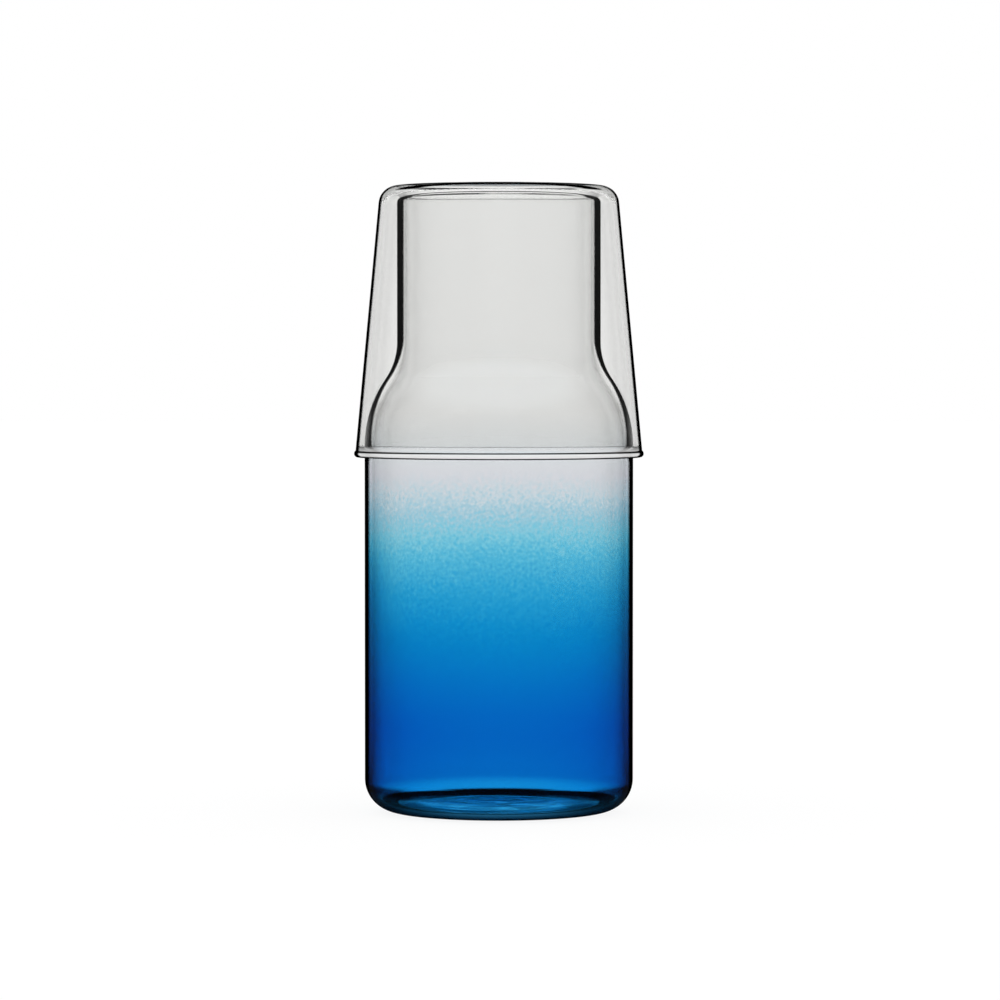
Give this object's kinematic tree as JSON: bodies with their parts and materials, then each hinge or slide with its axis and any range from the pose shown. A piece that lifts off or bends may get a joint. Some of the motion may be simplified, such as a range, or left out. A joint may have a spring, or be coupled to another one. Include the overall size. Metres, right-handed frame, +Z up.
{
  "type": "bedside carafe with tumbler",
  "caption": "Straight-sided glass carafe with a blue fade and a wide neck, and a tapered glass tumbler upside down over the neck as its cover.",
  "frame": {"origin": "middle of the carafe's base, on the plane of the ring that it stands on", "axes": "+Z up along the axis that carafe and tumbler are round about; +X and +Y are free, since both are round"},
  "size_m": [0.0784, 0.0784, 0.1691],
  "materials": {
    "blue_fade_glass": "polished glass with a sprayed blue coat that fades out up the body",
    "clear_glass": "polished clear glass, faintly smoke grey"
  },
  "bodies": {
    "carafe": {"carafe": "blue_fade_glass"},
    "tumbler": {"tumbler": "clear_glass"}
  },
  "joints": [
    {"name": "tumbler_lift", "type": "slide", "parent": "carafe", "child": "tumbler", "axis": [0, 0, 1], "range_m": [0, 0.09]}
  ]
}
